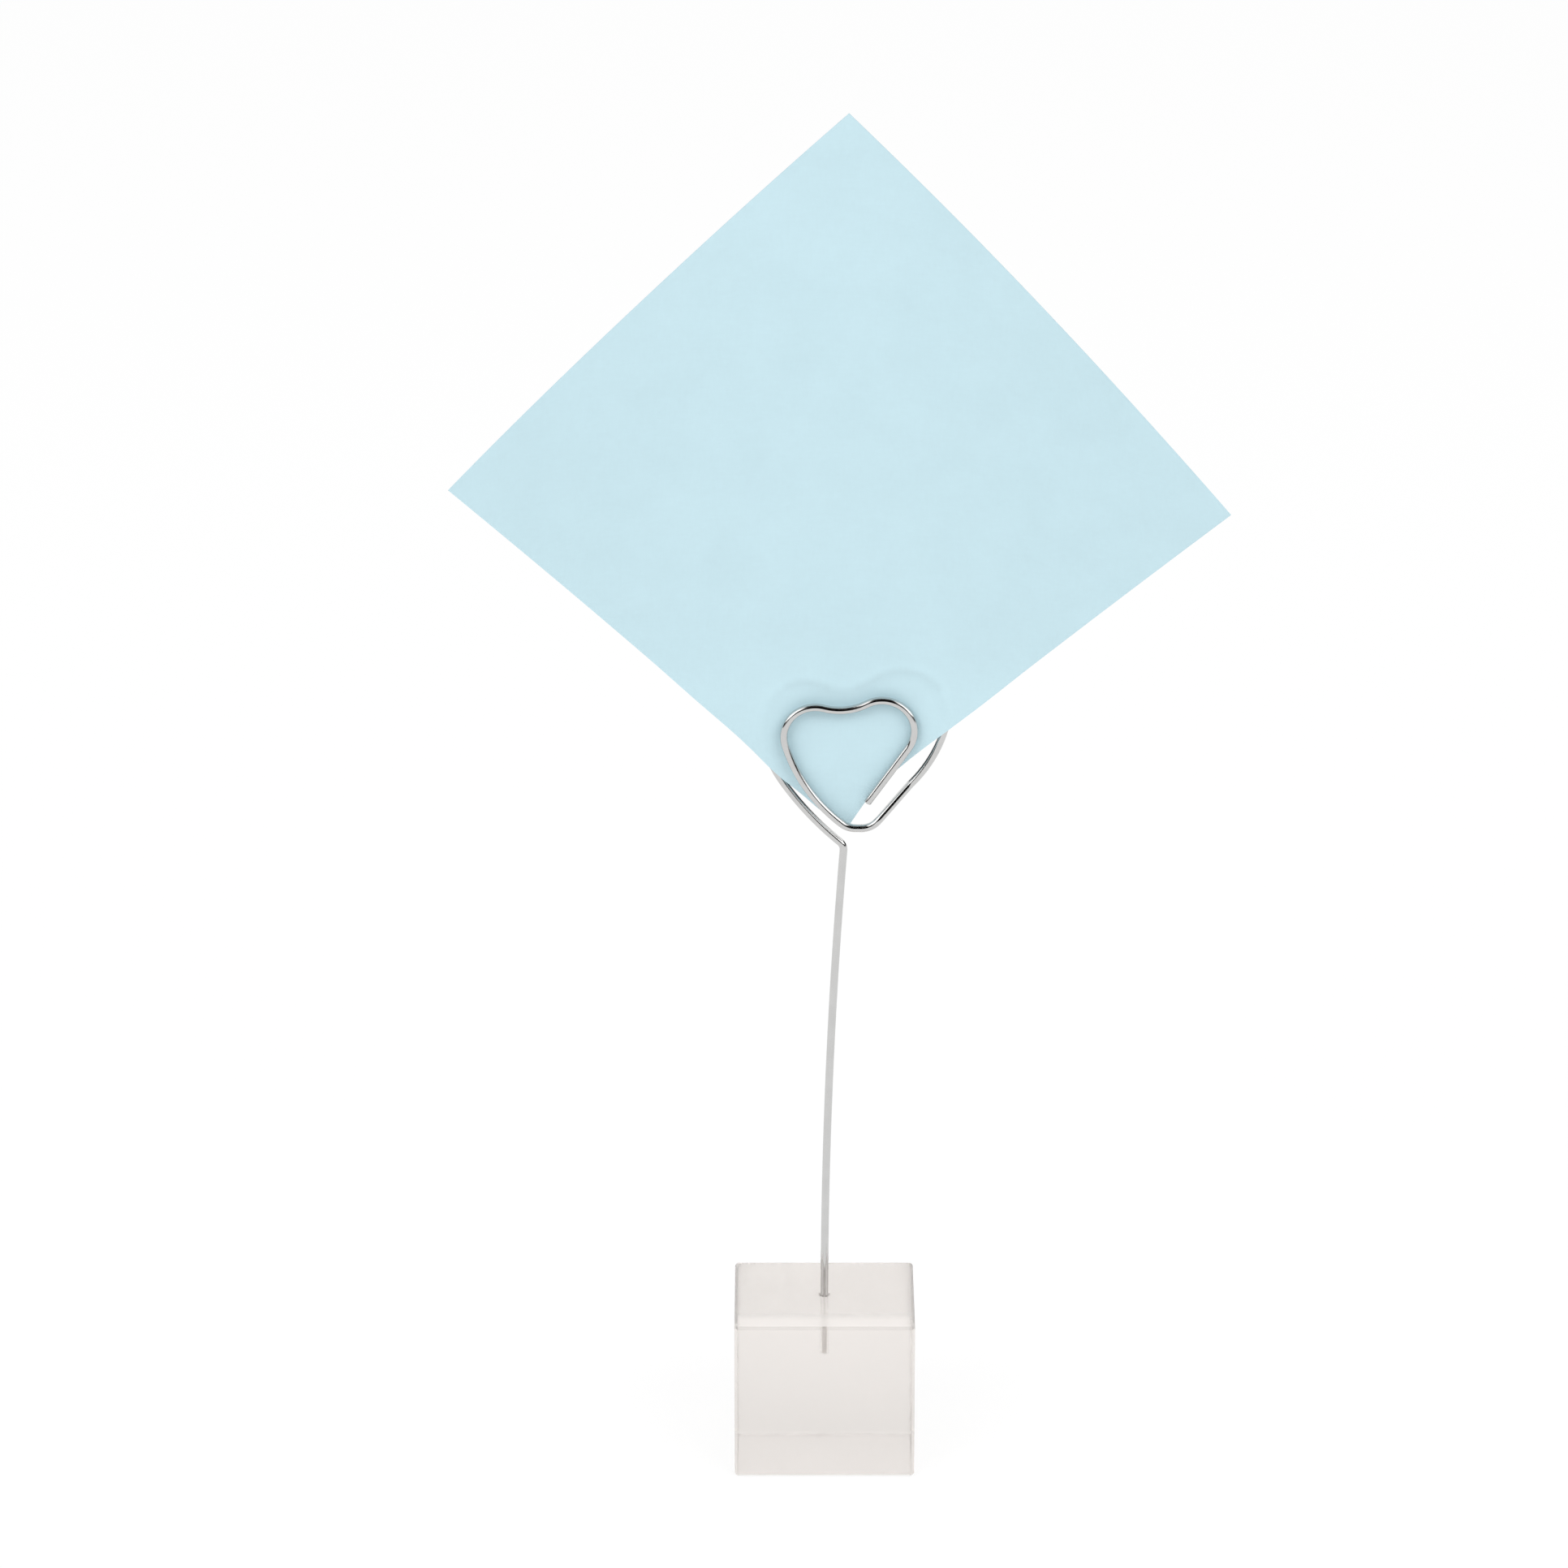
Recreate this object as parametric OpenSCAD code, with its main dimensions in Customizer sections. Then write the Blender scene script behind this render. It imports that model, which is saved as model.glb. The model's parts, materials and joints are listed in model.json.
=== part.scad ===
// Memo clip holder: a clear block, a bent wire that turns in it, and a square memo sheet held in the
// wire's double heart. Millimetres, +Z up. The origin is the centre of the block's underside.

/* [Base block] */
// Width of the block, left to right
base_w = 25.5; // [18:0.5:40]
// Depth of the block, front to back
base_d = 21.5; // [18:0.5:40]
// Height of the block
base_h = 23.5; // [15:0.5:40]
// Polished bevel along every edge of the block
base_bevel = 0.4; // [0.2:0.1:2]
// Depth of the drilled socket that takes the wire
socket_depth = 7.2; // [4:0.2:12]
// Clearance between the wire and the wall of the socket
socket_gap = 0.05; // [0.02:0.01:0.1]
// Deburring bevel round the mouth of the socket
socket_bevel = 0.25; // [0.1:0.05:0.6]
// Point angle of the drill that made the socket
drill_point = 118; // [90:1:140]

/* [Clip wire] */
// Thickness of the wire
wire_d = 1.1; // [0.8:0.1:1.5]
// Length of the stem above the block
stem_l = 68.5; // [40:0.5:100]
// Angle that the stem bows to the right over its length
stem_bow = 4.2; // [1:0.1:6]
// Angle that the whole clip is turned in its socket, right side towards the front
clip_turn = 2; // [0:0.1:30]

/* [Outer heart] */
// Bend radius where the stem turns into the heart
elbow_r = 1.5; // [1.2:0.1:3]
// Turn of that bend
elbow_turn = 53.5; // [50:0.5:57]
// Radius of the lower left side
outer_low_r = 45; // [39:1:51]
// Turn of the lower left side
outer_low_turn = 15; // [13:0.5:17]
// Radius of the upper left side
outer_high_r = 18; // [16:0.5:20]
// Turn of the upper left side
outer_high_turn = 29.5; // [27:0.5:32]
// Radius of both lobes
outer_lobe_r = 6.2; // [5.8:0.1:6.8]
// Turn of the left lobe
outer_left_turn = 115.5; // [112:0.5:119]
// Radius of the notch between the lobes
outer_notch_r = 7.8; // [7:0.1:8.8]
// Turn of the notch
outer_notch_turn = 58; // [55:0.5:61]
// Turn of the right lobe
outer_right_turn = 137.5; // [134:0.5:141]
// Radius of the right side
outer_side_r = 19.5; // [17:0.5:22]
// Turn of the right side
outer_side_turn = 32.5; // [30:0.5:35]

/* [Crossover and tip] */
// Slope of the run that brings the wire forward from the outer heart to the inner one
crossover_tilt = 17; // [14:0.5:22]
// Bend radius at both ends of that run
crossover_r = 2.5; // [1.5:0.1:4]
// Bend radius of the heart's tip
tip_r = 3; // [2.4:0.1:3.8]
// Level length at the very tip, where the wire twists as the inner heart opens
tip_flat = 0.8; // [0.5:0.1:1.4]

/* [Inner heart] */
// Turn of the tip after its level length
inner_tip_turn = 39; // [37:0.5:41]
// Radius of the left side
inner_side_r = 24; // [21:0.5:27]
// Turn of the left side
inner_side_turn = 33.5; // [31:0.5:36]
// Radius of both lobes
inner_lobe_r = 4.4; // [4:0.1:4.8]
// Turn of the left lobe
inner_left_turn = 122; // [119:0.5:125]
// Radius of the notch between the lobes
inner_notch_r = 8.2; // [7:0.1:9]
// Turn of the notch
inner_notch_turn = 43; // [40:0.5:46]
// Turn of the right lobe
inner_right_turn = 153; // [150:0.5:156]
// Straight run to the free end
inner_end_l = 10; // [7:0.5:11]

/* [Memo sheet] */
// Side of the square sheet
sheet_side = 76; // [60:1:100]
// Thickness of the sheet
sheet_t = 0.2; // [0.1:0.05:0.4]
// Clearance between the sheet and the wire on either face
sheet_gap = 0.1; // [0.05:0.05:0.3]
// Radius of the sheet's curl about an upright axis in front of it
sheet_curl_r = 145; // [100:5:400]
// Forward lean of the sheet above the clip
sheet_lean = 7.5; // [2:0.5:20]
// Bend radius where the lean starts
sheet_bend_r = 50; // [15:5:80]
// Turn of the sheet in its own plane, right corner down
sheet_roll = 1.1; // [0:0.1:3]
// How far the sheet's lower corner lies to the left of the heart's tip
sheet_corner_left = 3.4; // [2:0.1:5]
// Height of the sheet's lower corner over the wire's centre at the heart's tip, and negative below it
sheet_corner_up = -1.2; // [-2:0.1:2]

/* [Hidden] */
$fn = 96;
curl_fn = 256;       // steps in a full turn of the sheet's wide curl
edge_steps = 16;     // points along each edge of the sheet
bend_steps = 6;      // points round the bend of the sheet
wire_sides = 16;     // sides of the wire's tube
tight_step = 12;     // degrees between rings on a tight bend of the wire
wide_step = 4;       // degrees between rings on a wide bend of the wire
wide_bend_r = 15;    // radius from which a bend counts as wide
tube_inset = 0.005;  // how far the tube lies inside the round lengths that it runs into
end_bevel = 0.15;    // bevel on the wire's free end
cut_over = 1;        // how far a cut runs past the face that it opens

wire_r = wire_d / 2;
tube_r = wire_r - tube_inset;
socket_r = wire_r + socket_gap;
socket_lap = socket_depth / 2;    // how far the tube runs into the round length in the socket
tip_lap = tip_flat / 4;           // and into the round lengths at the tip

// Wire path, as a bender's table: each row is [radius, turn, roll], and a radius of 0 marks a straight
// run of that row's second value. Turns to the left are positive, in the plane of the heart as seen from
// the front. A roll of 90 bends the wire forwards out of that plane.
function run(length) = [0, length, 0];
function bend(radius, turn, roll = 0) = [radius, turn, roll];

bow_r = stem_l * 180 / (PI * stem_bow);
start_heading = 90 - stem_bow + elbow_turn;
side_heading = start_heading - outer_low_turn - outer_high_turn - outer_left_turn + outer_notch_turn
    - outer_right_turn - outer_side_turn;
outer_tip_turn = 180 + side_heading;    // leaves the wire level at the tip

tongue_bends = [
    run(tip_lap),
    bend(tip_r, -inner_tip_turn),
    bend(inner_side_r, -inner_side_turn),
    bend(inner_lobe_r, -inner_left_turn),
    bend(inner_notch_r, inner_notch_turn),
    bend(inner_lobe_r, -inner_right_turn),
    run(inner_end_l - end_bevel)
];

// Where the wire is after the first n rows of a table, as a matrix: x along the wire, z to the front
function shift(v) = [[1, 0, 0, v[0]], [0, 1, 0, v[1]], [0, 0, 1, v[2]], [0, 0, 0, 1]];
function turned(a) = [[cos(a), -sin(a), 0, 0], [sin(a), cos(a), 0, 0], [0, 0, 1, 0], [0, 0, 0, 1]];
function rolled(a) = [[1, 0, 0, 0], [0, cos(a), -sin(a), 0], [0, sin(a), cos(a), 0], [0, 0, 0, 1]];
function row_part(row, share) = row[0] == 0
    ? shift([row[1] * share, 0, 0])
    : rolled(row[2]) * shift([0, sign(row[1]) * row[0], 0]) * turned(row[1] * share)
        * shift([0, -sign(row[1]) * row[0], 0]) * rolled(-row[2]);
function wire_pose(table, n, from) = n == 0 ? from : wire_pose(table, n - 1, from) * row_part(table[n - 1], 1);
function place(pose) = [pose[0][3], pose[1][3], pose[2][3]];

// Poses along a table, with a new one every few degrees of each bend
function row_steps(row) = row[0] == 0 ? 1 : ceil(abs(row[1]) / (row[0] > wide_bend_r ? wide_step : tight_step));
function wire_path(table, from, i = 0) = i == len(table)
    ? [from]
    : let (row = table[i], n = row_steps(row)) concat(
        [for (k = [0:n - 1]) from * row_part(row, k / n)],
        wire_path(table, from * row_part(row, 1), i + 1)
    );
function ring_point(pose, radius, angle) =
    let (p = pose * [0, radius * cos(angle), radius * sin(angle), 1]) [p[0], p[1], p[2]];

// Inner heart in its own plane, from the middle of the tip: how far it reaches from the sheet's middle, and up
tongue_outline = [for (pose = wire_path(tongue_bends, turned(180) * shift([tip_lap, 0, 0]))) place(pose)];
clip_reach = max([for (p = tongue_outline) abs(p[0] + sheet_corner_left)]);
clip_rise = max([for (p = tongue_outline) p[1]]);

// The inner heart lies far enough forward for the curled sheet to pass behind it
clip_sag = sheet_curl_r - sqrt(sheet_curl_r * sheet_curl_r - clip_reach * clip_reach);
crossover_depth = wire_d + sheet_t + 2 * sheet_gap + clip_sag;
crossover_run = (crossover_depth - 2 * crossover_r * (1 - cos(crossover_tilt))) / sin(crossover_tilt);

stem_bends = [
    run(socket_lap),
    bend(bow_r, -stem_bow),
    bend(elbow_r, elbow_turn),
    bend(outer_low_r, -outer_low_turn),
    bend(outer_high_r, -outer_high_turn),
    bend(outer_lobe_r, -outer_left_turn),
    bend(outer_notch_r, outer_notch_turn),
    bend(outer_lobe_r, -outer_right_turn),
    bend(outer_side_r, -outer_side_turn),
    bend(crossover_r, crossover_tilt, 90),
    run(crossover_run),
    bend(crossover_r, -crossover_tilt, 90),
    bend(tip_r, -outer_tip_turn),
    run(tip_lap)
];
stem_start = shift([0, 0, base_h - socket_depth]) * rolled(90) * turned(90);
tube_start = stem_start * shift([socket_depth - socket_lap, 0, 0]);
tip_pose = wire_pose(stem_bends, len(stem_bends), tube_start) * shift([tip_lap, 0, 0]);
tip_place = place(tip_pose);
tongue_start = tip_pose * shift([tip_lap, 0, 0]);
free_end = wire_pose(tongue_bends, len(tongue_bends), tongue_start);

// Least gap between the two hearts, on points along both that lie clear of the tip that joins them
outer_points = [for (pose = wire_path(stem_bends, tube_start)) place(pose)];
inner_points = [for (pose = wire_path(tongue_bends, tongue_start)) place(pose)];
function clear_of_tip(points) = [for (p = points) if (norm(p - tip_place) > 2 * tip_r) p];
heart_gap = min([for (p = clear_of_tip(outer_points), q = clear_of_tip(inner_points)) norm(p - q)]) - wire_d;
echo(heart_gap = heart_gap);

// Sheet profile, from its lower corner up: upright in the clip, then leaning forwards.
// Lengths are along the sheet, and the profile is [distance from the curl's axis, height].
sheet_diagonal = sheet_side * sqrt(2);
corner_x = tip_place[0] - sheet_corner_left;
corner_z = tip_place[2] + sheet_corner_up;
curl_y = -(wire_r + sheet_gap + sheet_curl_r);
mid_r = sheet_curl_r - sheet_t / 2;
upright_l = clip_rise + wire_r + sheet_gap - sheet_corner_up;
bend_l = sheet_bend_r * sheet_lean * PI / 180;
lean_start = upright_l + bend_l;

function lean_angle(b) =
    b <= upright_l ? 0
    : b < lean_start ? sheet_lean * (b - upright_l) / bend_l
    : sheet_lean;
function bend_at(angle) = [mid_r, corner_z + upright_l] + sheet_bend_r * [cos(angle) - 1, sin(angle)];
function profile_at(b) =
    b <= upright_l ? [mid_r, corner_z + b]
    : bend_at(lean_angle(b)) + max(b - lean_start, 0) * [-sin(sheet_lean), cos(sheet_lean)];
function face_at(b, side) = profile_at(b) + side * sheet_t / 2 * [cos(lean_angle(b)), sin(lean_angle(b))];

profile_stops = concat(
    [-cut_over],
    [for (i = [0:bend_steps]) upright_l + bend_l * i / bend_steps],
    [sheet_diagonal + cut_over]
);

// Outline of the flat square standing on its corner, carried onto the curled sheet
function on_sheet(a, b) = let (p = profile_at(b)) [p[0] * sin(a * 180 / (PI * p[0])), p[1]];
function flat_edge(from, to) = [for (i = [0:edge_steps - 1]) from + (to - from) * i / edge_steps];
function in_plane_turn(p) = [
    p[0] * cos(sheet_roll) + p[1] * sin(sheet_roll),
    p[1] * cos(sheet_roll) - p[0] * sin(sheet_roll)
];
half = sheet_diagonal / 2;
flat_corners = [[0, 0], [half, half], [0, 2 * half], [-half, half]];
flat_outline = [for (i = [0:3]) each flat_edge(flat_corners[i], flat_corners[(i + 1) % 4])];
sheet_outline = [for (p = flat_outline) let (q = in_plane_turn(p)) on_sheet(q[0], q[1])];
curl_half_angle = half * 180 / (PI * profile_at(sheet_diagonal)[0]) + cut_over;

// Tube through a list of [pose, radius] rings
module swept_tube(rings) {
    n = wire_sides;
    last = len(rings) - 1;
    points = [for (ring = rings, j = [0:n - 1]) ring_point(ring[0], ring[1], j * 360 / n)];
    walls = [
        for (i = [0:last - 1], j = [0:n - 1])
        let (a = i * n + j, b = i * n + (j + 1) % n)
        each [[a, a + n, b], [b, a + n, b + n]]
    ];
    start_cap = [for (j = [0:n - 1]) j];
    end_cap = [for (j = [0:n - 1]) last * n + n - 1 - j];
    polyhedron(points = points, faces = concat(walls, [start_cap, end_cap]), convexity = 10);
}

// Round length of wire at a pose, where it turns in a socket or on its neighbour
module round_length(pose, length) {
    multmatrix(pose) rotate([0, 90, 0]) cylinder(h = length, r = wire_r);
}

module in_clip() {
    rotate([0, 0, -clip_turn]) children();
}

module bevelled_bar(across, up, length) {
    c = base_bevel;
    x = across / 2;
    y = up / 2;
    linear_extrude(length, center = true)
        polygon([
            [x - c, -y], [x, c - y], [x, y - c], [x - c, y],
            [c - x, y], [-x, y - c], [-x, c - y], [c - x, -y]
        ]);
}

// Clear block with bevelled edges and a drilled blind socket in its top
module base_block() {
    floor_z = base_h - socket_depth;
    point_l = socket_r / tan(drill_point / 2);
    color([0.91, 0.89, 0.87, 0.6])
    difference() {
        translate([0, 0, base_h / 2])
        intersection() {
            bevelled_bar(base_w, base_d, base_h);
            rotate([90, 0, 0]) bevelled_bar(base_w, base_h, base_d);
            rotate([90, 0, 90]) bevelled_bar(base_d, base_h, base_w);
        }
        translate([0, 0, floor_z]) cylinder(h = socket_depth + cut_over, r = socket_r);
        translate([0, 0, floor_z - point_l]) cylinder(h = point_l, r1 = 0, r2 = socket_r);
        translate([0, 0, base_h - socket_bevel])
            cylinder(h = socket_bevel + cut_over, r1 = socket_r, r2 = socket_r + socket_bevel + cut_over);
    }
}

// Stem and outer heart of the wire, from the socket to the level length at the heart's tip
module stem_wire() {
    color([0.79, 0.78, 0.78])
    in_clip()
    union() {
        round_length(stem_start, socket_depth);
        swept_tube([for (pose = wire_path(stem_bends, tube_start)) [pose, tube_r]]);
        round_length(tip_pose * shift([-tip_flat / 2, 0, 0]), tip_flat / 2);
    }
}

// Inner heart of the wire, from the level length at the tip to the free end
module clip_tongue() {
    color([0.72, 0.71, 0.71])
    in_clip()
    union() {
        round_length(tip_pose, tip_flat / 2);
        swept_tube(concat(
            [for (pose = wire_path(tongue_bends, tongue_start)) [pose, tube_r]],
            [[free_end * shift([end_bevel, 0, 0]), tube_r - end_bevel]]
        ));
    }
}

// Square sheet standing on its corner behind the inner heart and in front of the outer one
module memo_sheet() {
    color([0.80, 0.91, 0.94])
    in_clip()
    intersection() {
        translate([corner_x, curl_y, 0])
            rotate([0, 0, 90 - curl_half_angle])
            rotate_extrude(angle = 2 * curl_half_angle, $fn = curl_fn)
            polygon(concat(
                [for (b = profile_stops) face_at(b, 1)],
                [for (i = [len(profile_stops) - 1:-1:0]) face_at(profile_stops[i], -1)]
            ));
        translate([corner_x, 0, 0])
            rotate([90, 0, 0])
            linear_extrude(2 * half, center = true)
            polygon(sheet_outline);
    }
}

base_block();
stem_wire();
clip_tongue();
memo_sheet();
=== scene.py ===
"""Memo clip holder: a clear block, a plated wire bent into a double heart, and a curled memo sheet.

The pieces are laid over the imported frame. Lengths are metres, +Z is up and the front faces -Y.
"""
import json
from math import cos, pi, radians, sin

import bpy
import numpy as np
from bpy.props import FloatProperty, FloatVectorProperty, PointerProperty
from bpy.types import Operator, Panel, PropertyGroup
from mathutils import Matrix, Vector


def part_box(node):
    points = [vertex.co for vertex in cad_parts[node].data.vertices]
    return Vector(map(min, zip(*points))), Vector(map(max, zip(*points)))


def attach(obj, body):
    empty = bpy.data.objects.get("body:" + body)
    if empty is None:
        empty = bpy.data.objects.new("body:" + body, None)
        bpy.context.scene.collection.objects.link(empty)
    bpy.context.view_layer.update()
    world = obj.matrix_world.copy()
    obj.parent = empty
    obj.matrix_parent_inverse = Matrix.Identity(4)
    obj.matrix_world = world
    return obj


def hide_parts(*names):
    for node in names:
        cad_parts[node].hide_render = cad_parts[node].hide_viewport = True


bl_info = {
    "name": "Memo clip holder",
    "version": (1, 0, 0),
    "blender": (4, 5, 0),
    "location": "View3D > Sidebar > Memo holder",
    "description": "Builds a memo clip holder with a clear block, a double heart wire and a memo sheet",
    "category": "Object",
}

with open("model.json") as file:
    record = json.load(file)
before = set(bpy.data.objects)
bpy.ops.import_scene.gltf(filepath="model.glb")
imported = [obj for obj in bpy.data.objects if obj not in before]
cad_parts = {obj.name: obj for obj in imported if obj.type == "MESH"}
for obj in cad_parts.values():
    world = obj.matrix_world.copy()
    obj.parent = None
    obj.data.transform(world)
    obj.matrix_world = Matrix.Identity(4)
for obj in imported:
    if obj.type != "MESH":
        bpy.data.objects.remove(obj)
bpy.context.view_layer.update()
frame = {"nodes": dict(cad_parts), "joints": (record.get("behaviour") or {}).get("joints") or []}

MM = 0.001
BLOCK_BACK, BLOCK_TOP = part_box("base_block")[1].yz
SPRING = next(joint for joint in frame["joints"] if joint["name"] == "clip_spring")

# Bends of the wire as a bender's table of radius in mm and turn in degrees, left turns positive
OUTER_HEART = (
    (1.5, 53.5),  # off the stem to the left
    (45, -15),  # left side
    (18, -29.5),  # left side, tighter
    (6.2, -115.5),  # left lobe
    (7.8, 58),  # notch
    (6.2, -137.5),  # right lobe
    (19.5, -32.5),  # right side, down to the tip
)
INNER_HEART = (
    (24, -33.5),  # left side
    (4.4, -122),  # left lobe
    (8.2, 43),  # notch
    (4.4, -153),  # right lobe
)

# Bend radius in mm on either side of the level tip, and turn in degrees from it into the inner heart
TIP_BEND = 3
INNER_TIP_TURN = 39

# Longest steps along the wire, sides of its tube, steps of its rounded end, radius of a disc's map
STEP_LENGTH = 1 * MM
STEP_TURN = radians(3)
WIRE_SIDES = 24
END_STEPS = 6
DISC_MAP = 0.16

# Steps along each edge of the sheet, and the power that crowds them towards the clip
SHEET_STEPS = 180
SHEET_CROWDING = 1.35

# Height over the sheet's lower corner up to which its tip is drawn, and where its edges are drawn in
TIP_REACH = 8 * MM
PINCH_HEIGHT = 12 * MM
PINCH_SPREAD = 6 * MM
TUCK_HEIGHT = 5 * MM
TUCK_SPREAD_LEFT = 3 * MM
TUCK_SPREAD_RIGHT = 6.5 * MM

# Height over the tip where the outer heart starts to press, and depth of its top whose shadow is painted
# on the sheet
HEART_START = 3 * MM
CREST_DEPTH = 2.6 * MM

# Widths of the wire's ridge, groove and painted shadow in the sheet, and how many widths away they have
# faded out
RIDGE_WIDTH = 0.8 * MM
GROOVE_WIDTH = 1.3 * MM
SHADOW_WIDTH = 0.55 * MM
MARK_REACH = 5

# Slow waves of the sheet: height, lengths and phases across and up it, and length that they rise over
WAVE_HEIGHT = 0.25 * MM
WAVE_ACROSS = 17 * MM
WAVE_UP = 23 * MM
WAVE_PHASES = (0.7, 0.4)
WAVE_RISE = 30 * MM

# Range that most values of a noise texture lie in
NOISE_SPAN = (0.3, 0.7)

# Acrylic: cells of haze per metre and their range, depth and top share of the back's painted shade,
# underside
HAZE_GRAIN = 180
HAZE_SPREAD = (0.9, 1.1)
BACK_DEPTH = 1 * MM
BACK_TOP_SHARE = 0.3
UNDERSIDE_BAND = (0.2 * MM, 1.2 * MM)
UNDERSIDE_HAZE = 0.1

# Plating: draw marks round the wire and along each girth of it, cells of cloud and specks per metre
DRAW_MARKS = (26, 0.5, 1)
MARK_SPAN = (0.35, 0.75)
MARK_ROUGHNESS = (0.75, 1.5)
MARK_DEPTH = 0.02 * MM
CLOUD_GRAIN = 420
CLOUD_TONES = (0.95, 1.05)
SPECK_GRAIN = 2600
SPECK_SPAN = (0.7, 0.78)
SPECK_ROUGHNESS = 0.12

# Paper: cells of each grain per metre, how far fibres are drawn out, and ranges of tone and roughness
FIBRE_GRAIN = 2400
CROSSED_GRAIN = 2100
FIBRE_STRETCH = 0.25
FORMATION_GRAIN = 150
DRIFT_GRAIN = 26
PAPER_SPAN = (0.36, 0.64)
PAPER_TONES = (0.91, 1.03)
PAPER_ROUGHNESS = (0.82, 0.95)
PAPER_GLOSS = 0.25
TOOTH_DEPTH = 0.03 * MM
# Share by which the paper darkens along the outer heart's top as a painted shadow; the paper's tone
# range starts there
PAINTED_SHADOW_SHARE = 0.5

# Stage: the camera's sensor in mm, light of the floor, and the lamps' size and place on the right
SENSOR = 36
WHITE = (1, 1, 1, 1)
FLOOR_COLOUR = (0.9, 0.9, 0.9, 1)
FLOOR_GLOW = 1.06
FLOOR_SEEN = 0.8
FLOOR_SEEN_THROUGH = 0.95
LAMP_SIZE = (0.9, 0.7)
LAMP_PLACE = (0.75, -0.8, 1.05)

# The floor and the cards that the plating reflects, each as its name, its centre and two half edges
FLOOR = ("floor", (0, 0, -0.2 * MM), (4, 0, 0), (0, 4, 0))
DARK_CARDS = (
    ("dark_front", (0, -2.6, 0.7), (5, 0, 0), (0, 0, 0.7)),
    ("dark_left", (-2.6, 0, 0.7), (0, 2.6, 0), (0, 0, 0.7)),
    ("dark_right", (2.6, 0, 0.7), (0, 2.6, 0), (0, 0, 0.7)),
    ("dark_gap", (0, -1.9, 1.9), (1.2, 0, 0), (0, 0.7, 0.5)),
    ("dark_roof", (0, 0.6, 2.6), (1.2, 0, 0), (0, 1.8, 0)),
)
BRIGHT_CARDS = (
    ("bright_left", (-1.2, -0.65, 0.95), (-0.3, 0.55, 0), (0, 0, 0.6)),
    ("bright_right", (1.2, -0.65, 0.95), (0.3, 0.55, 0), (0, 0, 0.6)),
)


class BlockSettings(PropertyGroup):
    """Finish of the clear block."""

    tint: FloatVectorProperty(
        name="Tint",
        description="Colour of the light that passes through the faces",
        subtype="COLOR",
        size=3,
        min=0,
        max=1,
        default=(0.985, 0.947, 0.92),
    )
    # Painted shade: the back face's tint darkens towards the foot, for the floor's shade behind the
    # block seen through it
    back_shade: FloatProperty(
        name="Back shade",
        description="Share of the tint that is left at the foot of the duller back",
        subtype="FACTOR",
        default=0.68,
        min=0,
        max=1,
    )
    depth_tint: FloatVectorProperty(
        name="Depth tint",
        description="Colour that the block takes up with depth",
        subtype="COLOR",
        size=3,
        min=0,
        max=1,
        default=(0.6, 0.52, 0.42),
    )
    depth_density: FloatProperty(
        name="Depth density",
        description="How fast the depth tint builds up, per metre",
        default=3,
        min=0,
    )
    haze: FloatProperty(
        name="Haze",
        description="Roughness of the satin faces",
        subtype="FACTOR",
        default=0.15,
        min=0,
        max=1,
    )
    clarity: FloatProperty(
        name="Clarity",
        description="Share of the light that passes straight through, where the rest is scattered",
        subtype="FACTOR",
        default=0.8,
        min=0,
        max=1,
    )
    bend_of_light: FloatProperty(
        name="Refractive index",
        description="Refractive index of clear acrylic",
        default=1.49,
        min=1,
        max=2,
    )


class WireSettings(PropertyGroup):
    """Sizes and finish of the bent wire."""

    thickness: FloatProperty(
        name="Thickness",
        description="Thickness of the wire",
        unit="LENGTH",
        precision=4,
        default=1.1 * MM,
    )
    stem: FloatProperty(
        name="Stem",
        description="Length of the stem above the block",
        unit="LENGTH",
        precision=4,
        default=68.5 * MM,
    )
    bow: FloatProperty(
        name="Bow",
        description="Angle that the stem bows to the right over its length",
        subtype="ANGLE",
        default=radians(4.2),
    )
    turn: FloatProperty(
        name="Turn",
        description="Angle that the clip is turned in its socket, right side to the front",
        subtype="ANGLE",
        default=radians(2),
    )
    socket: FloatProperty(
        name="Socket",
        description="Length of the stem inside the block",
        unit="LENGTH",
        precision=4,
        default=7.15 * MM,
    )
    crossover_tilt: FloatProperty(
        name="Crossover slope",
        description="Slope of the run from the outer heart forward to the inner one",
        subtype="ANGLE",
        default=radians(17),
    )
    crossover_bend: FloatProperty(
        name="Crossover bend",
        description="Bend radius at both ends of that run",
        unit="LENGTH",
        precision=4,
        default=2.5 * MM,
    )
    tip_flat: FloatProperty(
        name="Level tip",
        description="Level length at the heart's tip, where the wire twists as the clip opens",
        unit="LENGTH",
        precision=4,
        default=0.8 * MM,
    )
    inner_end: FloatProperty(
        name="Free end",
        description="Straight run to the free end of the inner heart",
        unit="LENGTH",
        precision=4,
        default=10 * MM,
    )
    end_rounding: FloatProperty(
        name="End rounding",
        description="Radius that the edge of the free end is rounded to",
        unit="LENGTH",
        precision=5,
        default=0.15 * MM,
    )
    plating: FloatVectorProperty(
        name="Plating",
        description="Colour of the bright nickel plating",
        subtype="COLOR",
        size=3,
        min=0,
        max=1,
        default=(0.6, 0.598, 0.592),
    )
    polish: FloatProperty(
        name="Polish",
        description="Roughness of the plating between its drawn marks",
        subtype="FACTOR",
        default=0.14,
        min=0,
        max=1,
    )


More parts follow.
